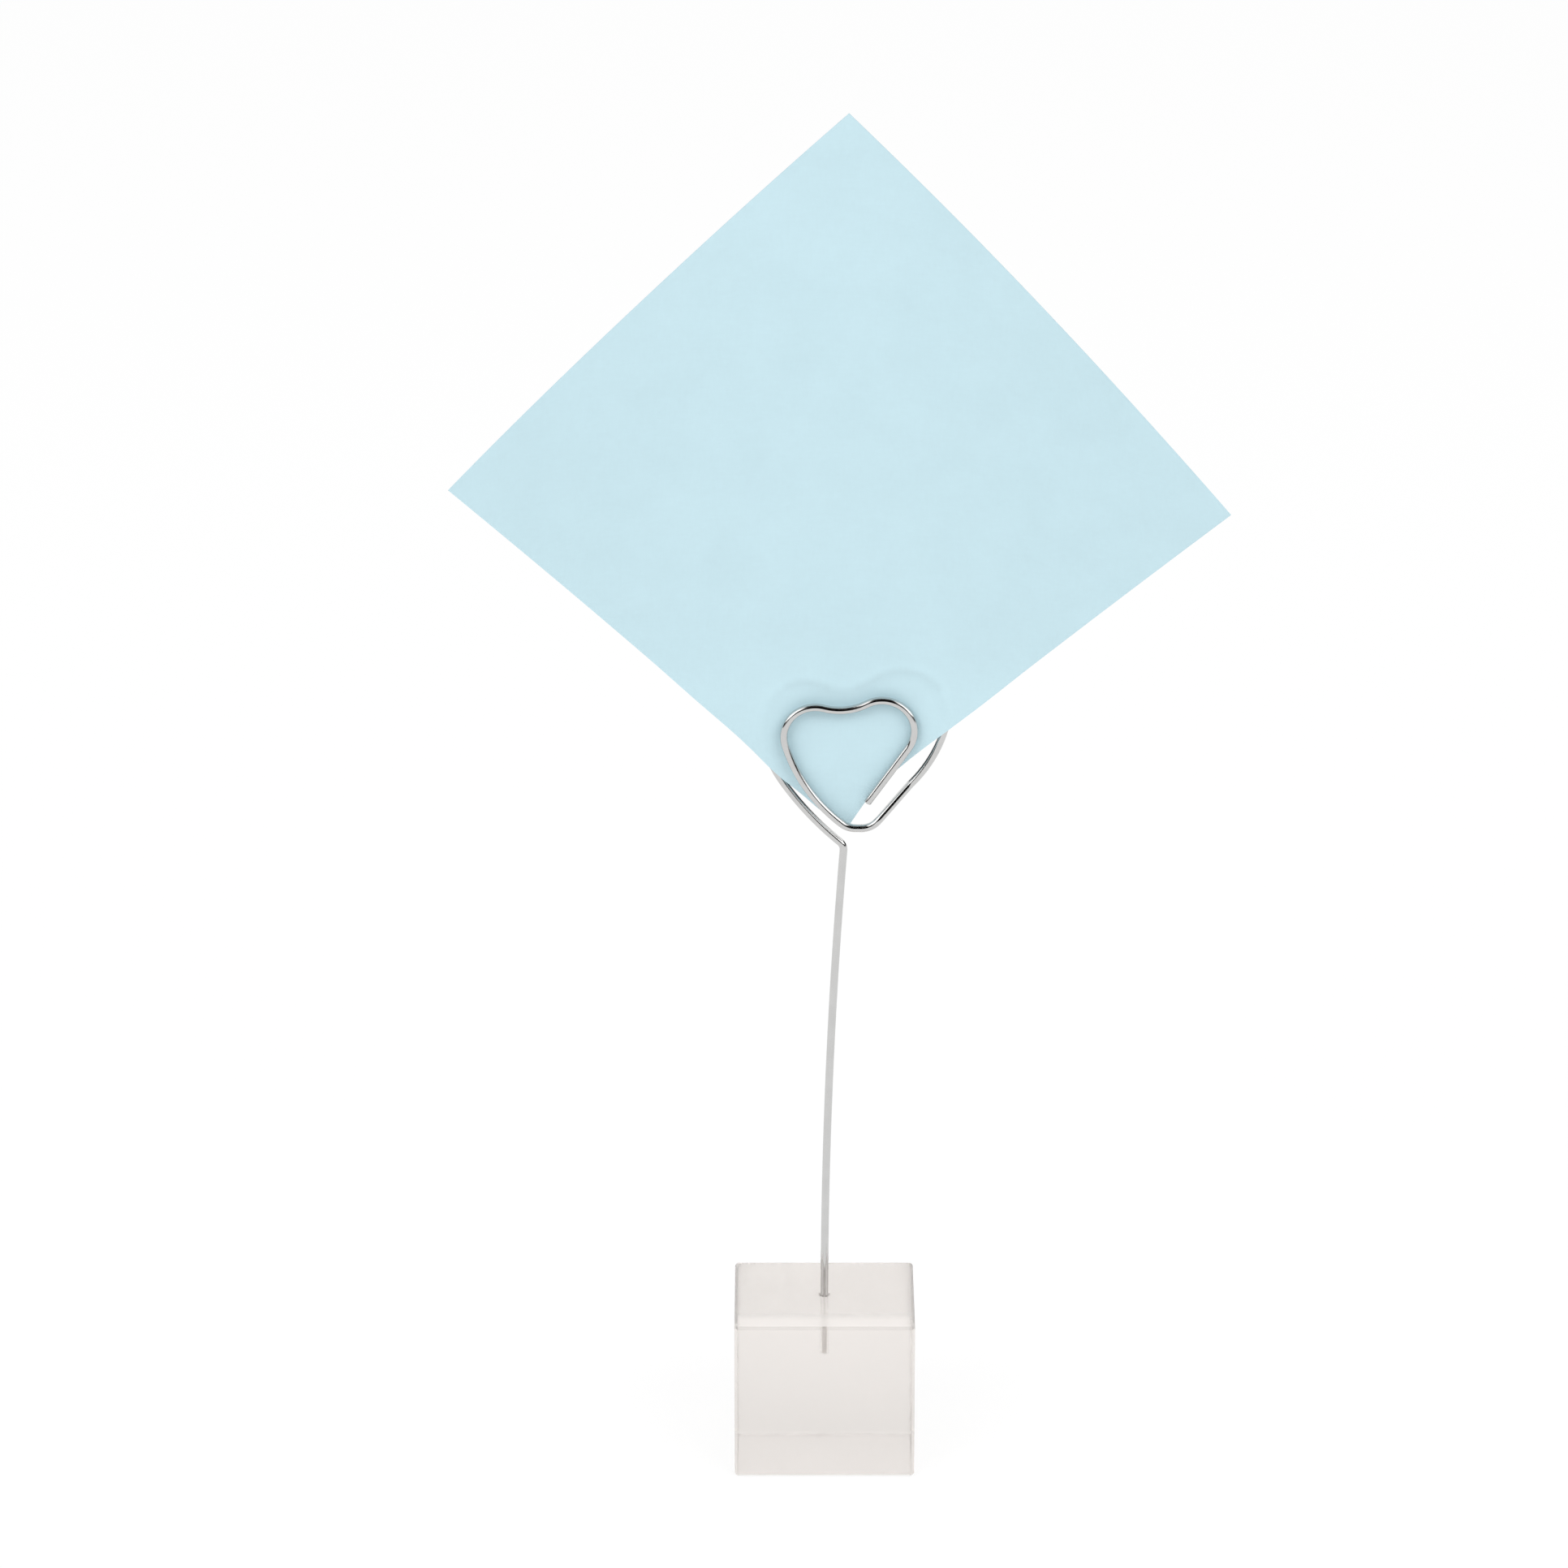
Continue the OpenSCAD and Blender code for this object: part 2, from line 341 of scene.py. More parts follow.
class SheetSettings(PropertyGroup):
    """Sizes and colour of the memo sheet."""

    side: FloatProperty(
        name="Side",
        description="Side of the square sheet as it was cut",
        unit="LENGTH",
        precision=4,
        default=76 * MM,
    )
    thickness: FloatProperty(
        name="Thickness",
        description="Thickness of the sheet",
        unit="LENGTH",
        precision=5,
        default=0.2 * MM,
    )
    gap: FloatProperty(
        name="Gap",
        description="Clearance between the sheet and the wire behind it",
        unit="LENGTH",
        precision=5,
        default=0.1 * MM,
    )
    curl: FloatProperty(
        name="Curl",
        description="Radius of the sheet's curl about an upright axis in front of it",
        unit="LENGTH",
        default=145 * MM,
    )
    lean: FloatProperty(
        name="Lean",
        description="Forward lean of the sheet above the clip",
        subtype="ANGLE",
        default=radians(7.5),
    )
    bend: FloatProperty(
        name="Bend",
        description="Bend radius where the lean starts",
        unit="LENGTH",
        default=50 * MM,
    )
    roll: FloatProperty(
        name="Roll",
        description="Turn of the sheet in its own plane, right corner down",
        subtype="ANGLE",
        default=radians(1.1),
    )
    corner_left: FloatProperty(
        name="Corner left",
        description="How far the lower corner lies to the left of the heart's tip",
        unit="LENGTH",
        precision=4,
        default=3.4 * MM,
    )
    corner_up: FloatProperty(
        name="Corner up",
        description="Height of the lower corner over the wire's centre at the heart's tip",
        unit="LENGTH",
        precision=4,
        default=-1.2 * MM,
    )
    ridge: FloatProperty(
        name="Ridge",
        description="Height of the ridge that the outer heart presses into the sheet",
        unit="LENGTH",
        precision=5,
        default=0.12 * MM,
    )
    groove: FloatProperty(
        name="Groove",
        description="Depth of the groove that the inner heart presses into the sheet",
        unit="LENGTH",
        precision=5,
        default=0.1 * MM,
    )
    sway: FloatProperty(
        name="Sway",
        description="How far the tip of the lower corner is drawn to the right behind the wire",
        unit="LENGTH",
        precision=4,
        default=2 * MM,
    )
    lift: FloatProperty(
        name="Lift",
        description="How far that tip is drawn up behind the wire",
        unit="LENGTH",
        precision=4,
        default=0.9 * MM,
    )
    pinch: FloatProperty(
        name="Pinch",
        description="Share by which the sheet's edges are drawn in beside the inner heart",
        subtype="FACTOR",
        default=0.05,
        min=0,
        max=0.2,
    )
    tuck: FloatProperty(
        name="Tuck",
        description="Share by which the edges near the corner are tucked in behind the inner heart",
        subtype="FACTOR",
        default=0.14,
        min=0,
        max=0.2,
    )
    paper: FloatVectorProperty(
        name="Paper",
        description="Colour of the light blue paper",
        subtype="COLOR",
        size=3,
        min=0,
        max=1,
        default=(0.6, 0.8, 0.868),
    )


class StageSettings(PropertyGroup):
    """Camera, backdrop and light."""

    distance: FloatProperty(
        name="Distance",
        description="Distance of the camera from the point that it is aimed at",
        unit="LENGTH",
        default=1,
    )
    elevation: FloatProperty(
        name="Elevation",
        description="Height angle of the camera above the horizon",
        subtype="ANGLE",
        default=radians(21.9),
    )
    lens: FloatProperty(
        name="Lens",
        description="Focal length in millimetres on a 36 mm sensor",
        default=166,
    )
    aim: FloatVectorProperty(
        name="Aim",
        description="Point that the camera is aimed at",
        subtype="TRANSLATION",
        size=3,
        default=(-5.75 * MM, 0, 101.8 * MM),
    )
    sky: FloatProperty(
        name="Sky",
        description="Strength of the light from all round",
        default=0.64,
        min=0,
    )
    backdrop: FloatProperty(
        name="Backdrop",
        description="Strength of the white backdrop as the camera, the plating and the block see it",
        default=1.12,
        min=0,
    )
    softbox: FloatProperty(
        name="Softbox",
        description="Power of the large soft lamp at the upper left",
        unit="POWER",
        default=5.5,
        min=0,
    )
    card: FloatProperty(
        name="Card",
        description="Strength of the bright cards that the plating reflects",
        default=2,
        min=0,
    )
    fill: FloatProperty(
        name="Fill",
        description="Power of the large soft lamp at the upper right",
        unit="POWER",
        default=5.2,
        min=0,
    )


class Term:
    """A socket of a node tree, on which arithmetic adds Math nodes.

    Without a socket it only starts a tree.
    """

    def __init__(self, tree, socket=None):
        self.tree = tree
        self.socket = socket

    def node(self, kind, settings=None, sockets=None, output=0):
        """Adds a node with its settings, then its sockets' values or links, and returns one output."""
        made = self.tree.nodes.new(kind)
        for name, value in (settings or {}).items():
            setattr(made, name, value)
        for name, value in (sockets or {}).items():
            if isinstance(value, Term):
                value.to(made, name)
            else:
                made.inputs[name].default_value = value
        return Term(self.tree, made.outputs[output])

    def to(self, node, name):
        """Links this value to a socket of a node."""
        self.tree.links.new(self.socket, node.inputs[name])

    def math(self, operation, first, second):
        """A Math node on two values."""
        return self.node("ShaderNodeMath", {"operation": operation}, {0: first, 1: second})

    def __add__(self, other):
        return self.math("ADD", self, other)

    __radd__ = __add__

    def __mul__(self, other):
        return self.math("MULTIPLY", self, other)

    __rmul__ = __mul__

    def __sub__(self, other):
        return self.math("SUBTRACT", self, other)

    def __rsub__(self, other):
        return self.math("SUBTRACT", other, self)

    def at_least(self, other):
        """The larger of this value and another."""
        return self.math("MAXIMUM", self, other)

    def axis(self, name):
        """One axis of this vector."""
        return self.node("ShaderNodeSeparateXYZ", sockets={"Vector": self}, output=name)

    def noise(self, scale, detail=2.0, roughness=0.5):
        """Value of a noise texture read at this vector."""
        return self.node(
            "ShaderNodeTexNoise",
            sockets={"Vector": self, "Scale": scale, "Detail": detail, "Roughness": roughness},
        )

    def stretched(self, scale):
        """This vector with each axis multiplied."""
        return self.node("ShaderNodeMapping", sockets={"Vector": self, "Scale": scale})

    def between(self, low, high, out_low=0.0, out_high=1.0):
        """This value carried from one range to another, clamped at both ends."""
        ends = {"From Min": low, "From Max": high, "To Min": out_low, "To Max": out_high}
        return self.node("ShaderNodeMapRange", sockets={"Value": self, **ends})

    def colour(self, low, high):
        """A colour that runs from one to another as this value runs from 0 to 1."""
        # The colour sockets share their names with the node's other kinds, so they go by number
        ends = {6: (*low, 1), 7: (*high, 1)}
        return self.node("ShaderNodeMix", {"data_type": "RGBA"}, {0: self, **ends}, 2)

    def blend(self, low, high):
        """A shader that runs from one to another as this value runs from 0 to 1."""
        return self.node("ShaderNodeMixShader", sockets={0: self, 1: low, 2: high})

    def bump(self, strength, distance):
        """A surface normal roughened by this value as a height."""
        return self.node(
            "ShaderNodeBump",
            sockets={"Height": self, "Strength": strength, "Distance": distance},
        )


def new_material(name, **sockets):
    """A Principled material with constant sockets, as (material, shader node, object coordinates)."""
    material = bpy.data.materials.new(name)
    material.use_nodes = True
    shader = material.node_tree.nodes["Principled BSDF"]
    for key, value in sockets.items():
        shader.inputs[key.replace("_", " ")].default_value = value
    place = Term(material.node_tree).node("ShaderNodeTexCoord", output="Object")
    return material, shader, place


def feed(shader, **terms):
    """Links values that change over the surface to the shader's sockets."""
    for key, term in terms.items():
        term.to(shader, key.replace("_", " "))


def shade(colour, factor):
    """A colour multiplied by a factor and kept within 1."""
    return tuple(min(1.0, c * factor) for c in colour)


def clear_acrylic(block):
    """Clear acrylic: uneven satin faces, a polished underside, painted shade low on the back and a tint
    with depth.
    """
    material, shader, place = new_material(
        "clear_acrylic",
        IOR=block.bend_of_light,
        Transmission_Weight=block.clarity,
    )
    height = place.axis("Z")
    # Painted shade: the back face's colour darkens towards the foot, for the floor's shade behind the
    # block seen through it
    at_back = place.axis("Y").between(BLOCK_BACK - BACK_DEPTH, BLOCK_BACK)
    painted_shade = at_back * height.between(0, BLOCK_TOP, 1, BACK_TOP_SHARE)
    low, high = (block.haze * share for share in HAZE_SPREAD)
    satin = place.noise(HAZE_GRAIN, detail=3).between(*NOISE_SPAN, low, high)
    feed(
        shader,
        Base_Color=painted_shade.colour(block.tint, shade(block.tint, block.back_shade)),
        Roughness=satin * height.between(*UNDERSIDE_BAND, UNDERSIDE_HAZE),
    )
    warmth = place.node(
        "ShaderNodeVolumeAbsorption",
        sockets={"Color": (*block.depth_tint, 1), "Density": block.depth_density},
    )
    warmth.to(material.node_tree.nodes["Material Output"], "Volume")
    return material


def bright_plating(wire):
    """Bright nickel on drawn wire: long fine draw marks, faint cloudiness and a few rough specks."""
    material, shader, place = new_material("bright_plating", Metallic=1)
    along = place.node("ShaderNodeUVMap", output="UV")
    marks = along.stretched(DRAW_MARKS).noise(1, detail=3, roughness=0.6)
    cloud = place.noise(CLOUD_GRAIN)
    specks = place.noise(SPECK_GRAIN, detail=1).between(*SPECK_SPAN)
    tone = (0.5 * marks + 0.5 * cloud).between(*NOISE_SPAN)
    dark, light = (shade(wire.plating, share) for share in CLOUD_TONES)
    low, high = (wire.polish * share for share in MARK_ROUGHNESS)
    feed(
        shader,
        Base_Color=tone.colour(dark, light),
        Roughness=marks.between(*MARK_SPAN, low, high) + SPECK_ROUGHNESS * specks,
        Normal=marks.bump(strength=0.05, distance=MARK_DEPTH),
    )
    return material


def memo_paper(sheet):
    """Uncoated paper: crossed fibres, a cloudy formation, a fine tooth, and a painted shadow of the wire
    behind it.
    """
    material, shader, place = new_material("memo_paper", Specular_IOR_Level=PAPER_GLOSS)
    fibres = place.stretched((1, 1, FIBRE_STRETCH)).noise(FIBRE_GRAIN, detail=3, roughness=0.65)
    crossed = place.stretched((FIBRE_STRETCH, 1, 1)).noise(CROSSED_GRAIN, detail=3, roughness=0.65)
    clouds = place.noise(FORMATION_GRAIN, detail=4, roughness=0.6)
    drift = place.noise(DRIFT_GRAIN)
    # Painted shadow of the outer heart's top, which lies behind the sheet, darkening the paper's colour
    behind = place.node("ShaderNodeAttribute", {"attribute_name": "painted_wire_shadow"}, output="Fac")
    tooth = 0.5 * fibres + 0.5 * crossed
    tone = (0.35 * tooth + 0.35 * clouds + 0.3 * drift).between(*PAPER_SPAN, PAINTED_SHADOW_SHARE, 1)
    dark, light = (shade(sheet.paper, share) for share in PAPER_TONES)
    feed(
        shader,
        Base_Color=(tone - PAINTED_SHADOW_SHARE * behind).colour(dark, light),
        Roughness=tooth.between(*NOISE_SPAN, *PAPER_ROUGHNESS),
        Normal=(tooth + 0.4 * clouds).bump(strength=0.25, distance=TOOTH_DEPTH),
    )
    return material


def bare_material(name):
    """A material that has no shader yet, as (material, output node)."""
    material = bpy.data.materials.new(name)
    material.use_nodes = True
    nodes = material.node_tree.nodes
    nodes.remove(nodes["Principled BSDF"])
    return material, nodes["Material Output"]


def plain_light(name, strength):
    """Light of one strength all over, for a card."""
    material, output = bare_material(name)
    light = Term(material.node_tree).node("ShaderNodeEmission", sockets={"Strength": strength})
    light.to(output, "Surface")
    return material


def seen_directly(tree, share=1.0, through_share=1.0):
    """Share by which a ray counts as looking at a backdrop, and 0 for the light that falls from it.

    One share is for rays from the camera or off gloss, and the other for rays through the clear block.
    """
    camera, gloss, through = (
        Term(tree).node("ShaderNodeLightPath", output=f"Is {kind} Ray")
        for kind in ("Camera", "Glossy", "Transmission")
    )
    return (share * camera.at_least(gloss)).at_least(through_share * through)


def pale_floor():
    """Matt off-white for the light that falls on it, with an even white glow where it is looked at."""
    material, output = bare_material("pale_floor")
    seen = seen_directly(material.node_tree, FLOOR_SEEN, FLOOR_SEEN_THROUGH)
    matt = seen.node("ShaderNodeBsdfDiffuse", sockets={"Color": FLOOR_COLOUR})
    glow = seen.node("ShaderNodeEmission", sockets={"Color": WHITE, "Strength": FLOOR_GLOW})
    seen.blend(matt, glow).to(output, "Surface")
    return material


def studio_world(stage):
    """White all round: a backdrop where it is looked at, and a softer sky for the light it gives."""
    world = bpy.data.worlds.new("studio")
    world.use_nodes = True
    seen = seen_directly(world.node_tree)
    sky, white = (
        seen.node("ShaderNodeBackground", sockets={"Color": WHITE, "Strength": strength})
        for strength in (stage.sky, stage.backdrop)
    )
    seen.blend(sky, white).to(world.node_tree.nodes["World Output"], "Surface")
    return world


def shift(x, y, z):
    """A move as a 4 by 4 matrix."""
    move = np.eye(4)
    move[:3, 3] = x, y, z
    return move


def turned(angle):
    """Turns about the third axis, one 4 by 4 matrix for each angle."""
    a = np.asarray(angle, float)
    spin = np.zeros(a.shape + (4, 4))
    spin[..., 0, 0] = spin[..., 1, 1] = np.cos(a)
    spin[..., 1, 0] = np.sin(a)
    spin[..., 0, 1] = -np.sin(a)
    spin[..., 2, 2] = spin[..., 3, 3] = 1
    return spin


def rolled(angle):
    """A turn about the first axis."""
    roll = np.eye(4)
    roll[1:3, 1:3] = [[cos(angle), -sin(angle)], [sin(angle), cos(angle)]]
    return roll


def row_poses(row, share):
    """Poses at shares of one row, which is (radius, turn, roll), or (0, length, 0) for a straight run.

    A bend turns about a point one radius to the side, after the roll about the wire has set which side.
    """
    radius, turn, roll = row
    if radius == 0:
        run = np.tile(np.eye(4), (len(share), 1, 1))
        run[:, 0, 3] = turn * share
        return run
    side = np.sign(turn) * radius
    return rolled(roll) @ shift(0, side, 0) @ turned(turn * share) @ shift(0, -side, 0) @ rolled(-roll)


def bent_wire(rows, start):
    """Poses along a bender's table, as (poses, distance of each along the wire)."""
    poses, reach, pose, done = [], [], start, 0.0
    for row in rows:
        radius, turn, _ = row
        if radius == 0:
            length = turn
            steps = length / STEP_LENGTH
        else:
            length = radius * abs(turn)
            steps = max(length / STEP_LENGTH, abs(turn) / STEP_TURN)
        steps = int(np.ceil(steps))
        share = np.arange(steps) / steps
        poses.append(pose @ row_poses(row, share))
        reach.append(done + length * share)
        pose = pose @ row_poses(row, np.ones(1))[0]
        done += length
    poses.append(pose[None])
    reach.append(np.array([done]))
    return np.concatenate(poses), np.concatenate(reach)


def tip_in_clip(wire):
    """The heart's tip before the clip is turned, from the spring hinge's own place."""
    return turned(wire.turn)[:3, :3] @ np.array(SPRING["pos_m"])


def outer_rows(wire):
    """Stem, outer heart, crossover and tip.

    The crossover's run brings the wire forward to the tip's depth.
    """
    heading = 90 - np.degrees(wire.bow) + sum(turn for _, turn in OUTER_HEART)
    tilt, bend = wire.crossover_tilt, wire.crossover_bend
    forward = -tip_in_clip(wire)[1] - 2 * bend * (1 - cos(tilt))
    rows = [(0, wire.socket, 0), (wire.stem / wire.bow, -wire.bow, 0)]
    rows += [(r * MM, radians(turn), 0) for r, turn in OUTER_HEART]
    rows += [(bend, tilt, pi / 2), (0, forward / sin(tilt), 0), (bend, -tilt, pi / 2)]
    return rows + [(TIP_BEND * MM, -radians(180 + heading), 0), (0, wire.tip_flat / 2, 0)]


def inner_rows(wire, short):
    """Tip, inner heart and free end, which stops short by a length."""
    rows = [(0, wire.tip_flat / 2, 0), (TIP_BEND * MM, -radians(INNER_TIP_TURN), 0)]
    rows += [(r * MM, radians(turn), 0) for r, turn in INNER_HEART]
    return rows + [(0, wire.inner_end - short, 0)]


def heart_paths(wire, short=0.0):
    """Poses and distances of the wire's outer and inner part, before the clip is turned."""
    foot = shift(0, 0, BLOCK_TOP - wire.socket) @ rolled(pi / 2) @ turned(pi / 2)
    outer = bent_wire(outer_rows(wire), foot)
    inner = bent_wire(inner_rows(wire, short), outer[0][-1])
    return outer, inner


def rounded_end(poses, reach, radius, rounding):
    """A path of one radius with a rounded end added, as (poses, distances, radii).

    Over a quarter turn the end goes on with the sine of the angle, and its radius drops with the cosine.
    """
    angle = np.linspace(0, pi / 2, END_STEPS + 1)[1:]
    end = poses[-1] @ row_poses((0, rounding, 0), np.sin(angle))
    end_radii = radius - rounding * (1 - np.cos(angle))
    return (
        np.concatenate([poses, end]),
        np.concatenate([reach, reach[-1] + rounding * np.sin(angle)]),
        np.concatenate([np.full(len(poses), radius), end_radii]),
    )


def edge_keys(pairs, count):
    """One number for each pair of points, whichever of the two comes first."""
    return np.sort(pairs.reshape(-1, 2), 1) @ (count, 1)


def new_piece(name, points, faces, uv, material, rims=()):
    """A mesh object from points, arrays of faces with equal corner counts, and a UV array for each.

    It is smooth but for the edges along its rims, which are closed rows of points.
    """
    mesh = bpy.data.meshes.new(name)
    corners = np.concatenate([f.ravel() for f in faces])
    counts = np.concatenate([np.full(len(f), f.shape[1]) for f in faces])
    starts = np.cumsum(counts) - counts
    places = np.concatenate([u.reshape(-1, 2) for u in uv])
    mesh.vertices.add(len(points))
    mesh.vertices.foreach_set("co", points.astype(np.float32).ravel())
    mesh.loops.add(len(corners))
    mesh.loops.foreach_set("vertex_index", corners.astype(np.int32))
    mesh.polygons.add(len(counts))
    mesh.polygons.foreach_set("loop_start", starts.astype(np.int32))
    mesh.update(calc_edges=True)
    mesh.uv_layers.new(name="surface").data.foreach_set("uv", places.astype(np.float32).ravel())
    if mesh.validate():
        raise RuntimeError(f"{name}: the mesh has faults")
    mesh.polygons.foreach_set("use_smooth", np.ones(len(counts), bool))
    if rims:
        edges = np.empty(len(mesh.edges) * 2, np.int32)
        mesh.edges.foreach_get("vertices", edges)
        rim_edges = np.concatenate([np.stack([rim, np.roll(rim, -1)], -1) for rim in rims])
        sharp = np.isin(edge_keys(edges, len(points)), edge_keys(rim_edges, len(points)))
        mesh.edges.foreach_set("use_edge_sharp", sharp)
    mesh.materials.append(material)
    piece = bpy.data.objects.new(name, mesh)
    bpy.context.scene.collection.objects.link(piece)
    return piece


def round_wire(name, poses, reach, radii, material):
    """A round tube: a circle of its radius across the wire at each pose, and a disc on either end.

    The map runs once round the wire and along it by the same measure, so marks keep their shape.
    """
    n, m = len(poses), WIRE_SIDES
    angle = np.arange(m) * 2 * pi / m
    ring = np.stack([np.zeros(m), np.cos(angle), np.sin(angle)])
    points = poses[:, :3, 3, None] + (poses[:, :3, :3] @ ring) * radii[:, None, None]
    i, j = np.meshgrid(np.arange(n - 1), np.arange(m), indexing="ij")
    k = (j + 1) % m
    walls = np.stack([i * m + j, i * m + k, (i + 1) * m + k, (i + 1) * m + j], -1).reshape(-1, 4)
    around = np.stack([j, j + 1, j + 1, j], -1) / m
    along = np.stack([reach[i], reach[i], reach[i + 1], reach[i + 1]], -1) / (2 * pi * radii.max())
    discs = np.stack([np.arange(m)[::-1], (n - 1) * m + np.arange(m)])
    disc_map = np.stack([0.5 + DISC_MAP * np.cos(angle), DISC_MAP * np.sin(angle)], -1)
    return new_piece(
        name,
        points.transpose(0, 2, 1).reshape(-1, 3),
        [walls, discs],
        [np.stack([around, along], -1), np.stack([disc_map, disc_map])],
        material,
        list(discs),
    )


def bell(x):
    """A bell curve, e to the power of minus x squared."""
    return np.exp(-(x**2))


def pressed(x, z, path, width):
    """A ridge along a path in the clip's plane: a bell curve of the distance to its nearest point."""
    gap = np.full(x.shape, np.inf)
    near = z < path[:, 2].max() + MARK_REACH * width
    away = (x[near][:, None] - path[None, :, 0]) ** 2 + (z[near][:, None] - path[None, :, 2]) ** 2
    gap[near] = np.sqrt(away.min(1))
    return bell(gap / width)


def paper_profile(b, sheet, corner_z, upright):
    """Distance from the curl's axis, height and lean at a length b up the sheet from its lower corner.

    The sheet stands upright, then bends forward on an arc, then runs straight at its lean.
    """
    angle = np.clip((b - upright) / sheet.bend, 0, sheet.lean)
    over = np.maximum(b - upright - sheet.bend * sheet.lean, 0)
    middle = sheet.curl - sheet.thickness / 2
    r = middle - sheet.bend * (1 - np.cos(angle)) - over * sin(sheet.lean)
    z = corner_z + np.minimum(b, upright) + sheet.bend * np.sin(angle) + over * cos(sheet.lean)
    return r, z, angle


def drawn_corner(a, b, sheet):
    """Places across and up the flat sheet, with its lower corner drawn in as the clip holds it.

    The tip moves to the right and up by the square of its nearness to the corner. The width is taken in
    by two bell curves of the height, one beside the inner heart and one behind it, taller on the right.
    """
    near = np.clip(1 - b / TIP_REACH, 0, 1) ** 2
    width = 1 - sheet.pinch * bell((b - PINCH_HEIGHT) / PINCH_SPREAD)
    width -= sheet.tuck * bell((b - TUCK_HEIGHT) / np.where(a > 0, TUCK_SPREAD_RIGHT, TUCK_SPREAD_LEFT))
    return a * width + sheet.sway * near, b + sheet.lift * near


def slow_waves(a, b, upright):
    """Waves that rise above the upright stretch: a sine across the sheet times a sine up it."""
    loose = np.clip((b - upright) / WAVE_RISE, 0, 1)
    across, up = np.sin(a / WAVE_ACROSS + WAVE_PHASES[0]), np.sin(b / WAVE_UP + WAVE_PHASES[1])
    return WAVE_HEIGHT * loose * across * up


def wrapped(a, r, z, lean, out):
    """Places a distance out from the sheet's middle, which is wrapped round the curl's axis.

    A length a across the sheet turns by a over r about that axis, and out is square to the lean.
    """
    wide = r + out * np.cos(lean)
    return np.stack([wide * np.sin(a / r), wide * np.cos(a / r), z + out * np.sin(lean)], -1)


def curled_sheet(sheet, wire):
    """Front and back points of the sheet and its flat map, on a grid that is finer towards the clip.

    The two parameters run along the edges that meet at the lower corner. The flat square stands on that
    corner, is rolled a little in its plane and drawn in at the corner, leans along its profile and is
    wrapped round the curl's axis. The outer heart presses a ridge into it, the inner heart a groove, and
    slow waves keep it from lying true. The last array is how closely the outer heart's top lies behind.
    """
    (outer, _), (inner, _) = heart_paths(wire)
    tip = tip_in_clip(wire)
    radius = wire.thickness / 2
    axis = np.array([tip[0] - sheet.corner_left, -(radius + sheet.gap + sheet.curl), 0])
    upright = (inner[:, 2, 3] - tip[2]).max() + radius + sheet.gap - sheet.corner_up

    edge = np.linspace(0, 1, SHEET_STEPS + 1) ** SHEET_CROWDING * sheet.side
    s, t = np.meshgrid(edge, edge, indexing="ij")
    a, b = (s - t) / np.sqrt(2), (s + t) / np.sqrt(2)
    cos_roll, sin_roll = cos(sheet.roll), sin(sheet.roll)
    a, b = a * cos_roll + b * sin_roll, b * cos_roll - a * sin_roll
    a, b = drawn_corner(a, b, sheet)
    r, z, lean = paper_profile(b, sheet, tip[2] + sheet.corner_up, upright)

    x = axis[0] + r * np.sin(a / r)
    heart = outer[outer[:, 2, 3] > tip[2] + HEART_START][:, :3, 3]
    crest = heart[heart[:, 2] > heart[:, 2].max() - CREST_DEPTH]
    forward = sheet.ridge * pressed(x, z, heart, RIDGE_WIDTH)
    forward -= sheet.groove * pressed(x, z, inner[:, :3, 3], GROOVE_WIDTH)
    forward += slow_waves(a, b, upright)

    half = sheet.thickness / 2
    front, back = (axis + wrapped(a, r, z, lean, side - forward) for side in (-half, half))
    # How closely the outer heart's top lies behind the back, for the shadow that is painted on the paper
    behind = pressed(back[..., 0], z, crest, SHADOW_WIDTH)
    return front, back, np.stack([s, t], -1) / sheet.side, behind


def slab(name, front, back, flat, material):
    """A thin closed slab from a front and a back grid, joined by a strip along each edge."""
    n, m = front.shape[:2]
    points = np.concatenate([front.reshape(-1, 3), back.reshape(-1, 3)])
    index = np.arange(n * m).reshape(n, m)
    quads = np.stack([index[:-1, :-1], index[1:, :-1], index[1:, 1:], index[:-1, 1:]], -1)
    quads = quads.reshape(-1, 4)
    rim = np.concatenate([index[:-1, 0], index[-1, :-1], index[:0:-1, -1], index[0, :0:-1]])
    ahead = np.roll(rim, -1)
    strip = np.stack([ahead, rim, rim + n * m, ahead + n * m], -1)
    faces = [quads, quads[:, ::-1] + n * m, strip]
    flat = np.concatenate([flat.reshape(-1, 2)] * 2)
    return new_piece(name, points, faces, [flat[f] for f in faces], material, [rim, rim + n * m])


def set_in_clip(piece, wire):
    """Turns a piece's mesh with the clip in its socket."""
    mesh = piece.data
    points = np.empty(len(mesh.vertices) * 3, np.float32)
    mesh.vertices.foreach_get("co", points)
    points = points.reshape(-1, 3) @ turned(-wire.turn)[:3, :3].T
    mesh.vertices.foreach_set("co", points.astype(np.float32).ravel())
    mesh.update()


def stage_plane(name, centre, across, up, material):
    """A flat rectangle given by its centre and two half edges."""
    centre, across, up = (np.array(v, float) for v in (centre, across, up))
    points = centre + np.array([-across - up, across - up, across + up, up - across])
    square = np.array([[[0, 0], [1, 0], [1, 1], [0, 1]]])
    plane = new_piece(name, points, [np.arange(4)[None]], [square], material)
    return plane


def reflected_card(name, centre, across, up, material):
    """A rectangle that is seen only as a reflection in the plating."""
    card = stage_plane(name, centre, across, up, material)
    card.visible_camera = card.visible_diffuse = False
    card.visible_transmission = card.visible_shadow = False


def photo_camera(stage):
    """The camera, straight in front of its aim at the distance and elevation that are set."""
    lens = bpy.data.cameras.new("camera")
    lens.lens = stage.lens
    lens.sensor_width = SENSOR
    camera = bpy.data.objects.new("camera", lens)
    away = Vector((0, -cos(stage.elevation), sin(stage.elevation)))
    camera.location = Vector(stage.aim) + stage.distance * away
    camera.rotation_euler = (-away).to_track_quat("-Z", "Y").to_euler()
    return camera


